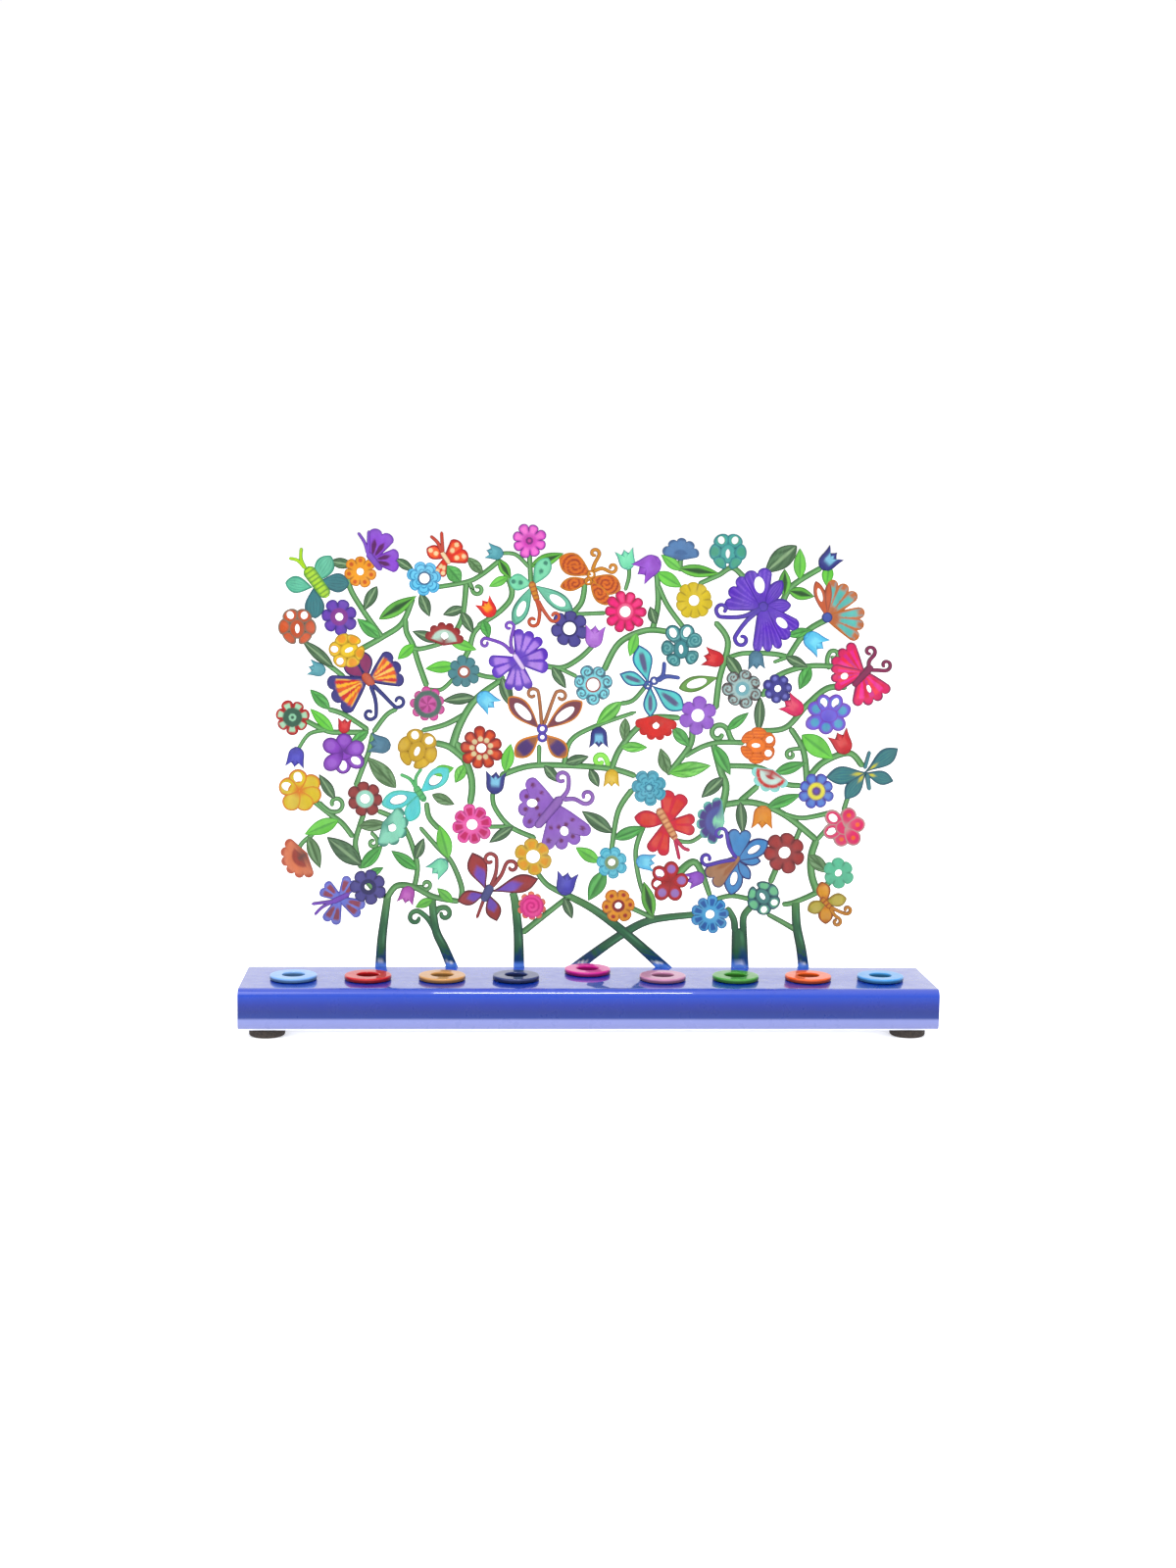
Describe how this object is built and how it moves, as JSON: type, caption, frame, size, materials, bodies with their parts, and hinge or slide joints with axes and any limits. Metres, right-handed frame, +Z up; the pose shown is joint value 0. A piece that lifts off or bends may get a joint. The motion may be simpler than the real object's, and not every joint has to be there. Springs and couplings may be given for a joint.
{
  "type": "candle holder",
  "caption": "Candle holder with a bent blue metal base, a row of turned candle cups and a tall painted cut-out panel of stems, flowers and butterflies.",
  "frame": {"origin": "on the floor under the middle of the base, at the bottom centre of the bounding box", "axes": "+X along the row of cups to the right as seen from the front, +Y from the front towards the panel at the back, +Z up"},
  "size_m": [0.312, 0.052, 0.2276],
  "materials": {
    "base_lacquer": "glossy saturated blue lacquer on bent sheet steel",
    "panel_paint": "hand-painted enamel in many colours on a laser-cut steel sheet, green stems",
    "cup_pale_blue": "glossy pale blue lacquer on a turned metal cup",
    "cup_red": "glossy red lacquer on a turned metal cup",
    "cup_tan": "glossy tan lacquer on a turned metal cup",
    "cup_slate_blue": "glossy slate blue lacquer on a turned metal cup",
    "cup_magenta": "glossy magenta lacquer on a turned metal cup",
    "cup_mauve": "glossy mauve lacquer on a turned metal cup",
    "cup_green": "glossy green lacquer on a turned metal cup",
    "cup_orange": "glossy orange lacquer on a turned metal cup",
    "cup_sky_blue": "glossy sky blue lacquer on a turned metal cup",
    "foot_rubber": "dark brown-black rubber pad"
  },
  "bodies": {
    "root": {"base_channel": "base_lacquer", "tree_panel": "panel_paint", "candle_cup_1": "cup_pale_blue", "candle_cup_2": "cup_red", "candle_cup_3": "cup_tan", "candle_cup_4": "cup_slate_blue", "candle_cup_5": "cup_magenta", "candle_cup_6": "cup_mauve", "candle_cup_7": "cup_green", "candle_cup_8": "cup_orange", "candle_cup_9": "cup_sky_blue", "foot_front_left": "foot_rubber", "foot_front_right": "foot_rubber", "foot_rear_left": "foot_rubber", "foot_rear_right": "foot_rubber"}
  },
  "joints": []
}
